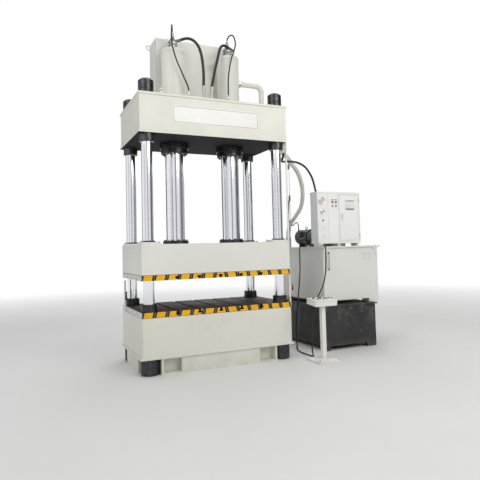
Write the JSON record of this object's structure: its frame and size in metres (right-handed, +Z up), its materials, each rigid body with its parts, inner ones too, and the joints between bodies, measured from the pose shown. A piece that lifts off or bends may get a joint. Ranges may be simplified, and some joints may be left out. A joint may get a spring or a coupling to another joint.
{
  "type": "hydraulic press",
  "caption": "Four-column hydraulic press with T-slotted tables, twin rams, prefill tank, separate power unit and button stand.",
  "frame": {"origin": "on the floor, in the middle of the press, under the centre of its bed", "axes": "+X to the right along the front, +Y to the back, +Z up; the operator stands on the -Y side"},
  "size_m": [4.06, 2.2585, 4.9738],
  "materials": {
    "cream_paint": "warm off-white machine paint, satin",
    "white_paint": "white enamel, satin",
    "charcoal_paint": "charcoal paint, scuffed",
    "table_steel": "ground steel plate, hazard stripes on its front edge",
    "black_oxide": "black oxide",
    "chrome": "hard chrome, ground",
    "valve_steel": "machined and phosphated",
    "brass": "turned brass",
    "motor_paint": "dark grey paint",
    "gauge_chrome": "plated",
    "black_rubber": "black rubber cover",
    "clear_hose": "ribbed translucent hose",
    "black_plastic": "black plastic",
    "green_plastic": "green plastic",
    "red_plastic": "red plastic",
    "amber_plastic": "amber plastic",
    "grey_plastic": "grey plastic"
  },
  "bodies": {
    "frame": {"bed_frame": "cream_paint", "bolster_plate": "table_steel", "crown_frame": "cream_paint", "brass_port": "brass", "prefill_tank": "cream_paint", "elbow_pipe": "cream_paint", "limit_rail": "white_paint", "lower_tank": "charcoal_paint", "oil_tank": "white_paint", "filler_breather": "gauge_chrome", "level_gauge": "gauge_chrome", "cabinet": "white_paint", "hydraulic_pump": "motor_paint", "pump_motor": "motor_paint", "valve_manifold": "valve_steel", "operator_stand": "white_paint", "return_hose": "clear_hose", "column_front_left": "chrome", "top_nut_front_left": "black_oxide", "bed_nut_front_left": "black_oxide", "column_front_right": "chrome", "top_nut_front_right": "black_oxide", "bed_nut_front_right": "black_oxide", "column_rear_left": "chrome", "top_nut_rear_left": "black_oxide", "bed_nut_rear_left": "black_oxide", "column_rear_right": "chrome", "top_nut_rear_right": "black_oxide", "bed_nut_rear_right": "black_oxide", "cylinder_barrel_left": "cream_paint", "gland_flange_left": "black_oxide", "prefill_valve_left": "valve_steel", "cylinder_barrel_right": "cream_paint", "gland_flange_right": "black_oxide", "prefill_valve_right": "valve_steel", "thin_hose_left": "black_rubber", "thick_hose_left": "black_rubber", "thick_hose_right": "black_rubber", "thin_hose_right": "black_rubber", "pressure_hose": "black_rubber", "limit_switch_cable": "black_rubber", "panel_cable": "black_rubber", "floor_cable": "black_rubber"},
    "slide": {"slide_frame": "cream_paint", "slide_plate": "table_steel", "ram_left": "chrome", "ram_right": "chrome", "ram_flange_left": "black_oxide", "ram_flange_right": "black_oxide"},
    "cabinet_door": {"cabinet_door": "white_paint"},
    "door_handle": {"door_handle": "gauge_chrome"},
    "cabinet_button_left": {"cabinet_button_left": "red_plastic"},
    "cabinet_button_right": {"cabinet_button_right": "red_plastic"},
    "mode_selector": {"mode_selector": "black_plastic"},
    "start_button": {"start_button": "green_plastic"},
    "emergency_stop": {"emergency_stop": "red_plastic"},
    "reset_button": {"reset_button": "black_plastic"},
    "lamp_test_button": {"lamp_test_button": "amber_plastic"},
    "return_button": {"return_button": "green_plastic"},
    "jog_button": {"jog_button": "grey_plastic"}
  },
  "joints": [
    {"name": "slide_stroke", "type": "slide", "parent": "frame", "child": "slide", "axis": [0, 0, 1], "range_m": [-0.16, 0.84]},
    {"name": "cabinet_door_hinge", "type": "hinge", "parent": "frame", "child": "cabinet_door", "pos_m": [2.638, -0.306, 2.092], "axis": [0, 0, 1], "range_deg": [0, 110]},
    {"name": "door_handle_turn", "type": "hinge", "parent": "cabinet_door", "child": "door_handle", "pos_m": [2.298, -0.306, 2.137], "axis": [0, 1, 0], "range_deg": [0, 90]},
    {"name": "cabinet_button_left_press", "type": "slide", "parent": "frame", "child": "cabinet_button_left", "axis": [0, -1, 0], "range_m": [-0.005, 0], "stiffness_N_per_m": 400, "springref_m": 0.002},
    {"name": "cabinet_button_right_press", "type": "slide", "parent": "frame", "child": "cabinet_button_right", "axis": [0, -1, 0], "range_m": [-0.005, 0], "stiffness_N_per_m": 400, "springref_m": 0.002},
    {"name": "mode_selector_turn", "type": "hinge", "parent": "frame", "child": "mode_selector", "pos_m": [1.253, -1.01358, 0.88224], "axis": [0, -0.1132, 0.9936], "range_deg": [-45, 45]},
    {"name": "start_button_press", "type": "slide", "parent": "frame", "child": "start_button", "axis": [0, -0.1132, 0.9936], "range_m": [-0.005, 0], "stiffness_N_per_m": 400, "springref_m": 0.002},
    {"name": "emergency_stop_press", "type": "slide", "parent": "frame", "child": "emergency_stop", "axis": [0, -0.1132, 0.9936], "range_m": [-0.005, 0], "stiffness_N_per_m": 400, "springref_m": 0.002},
    {"name": "reset_button_press", "type": "slide", "parent": "frame", "child": "reset_button", "axis": [0, -0.1132, 0.9936], "range_m": [-0.005, 0], "stiffness_N_per_m": 400, "springref_m": 0.002},
    {"name": "lamp_test_button_press", "type": "slide", "parent": "frame", "child": "lamp_test_button", "axis": [0, -0.1132, 0.9936], "range_m": [-0.005, 0], "stiffness_N_per_m": 400, "springref_m": 0.002},
    {"name": "return_button_press", "type": "slide", "parent": "frame", "child": "return_button", "axis": [0, -0.1132, 0.9936], "range_m": [-0.005, 0], "stiffness_N_per_m": 400, "springref_m": 0.002},
    {"name": "jog_button_press", "type": "slide", "parent": "frame", "child": "jog_button", "axis": [0, -0.1132, 0.9936], "range_m": [-0.005, 0], "stiffness_N_per_m": 400, "springref_m": 0.002}
  ]
}
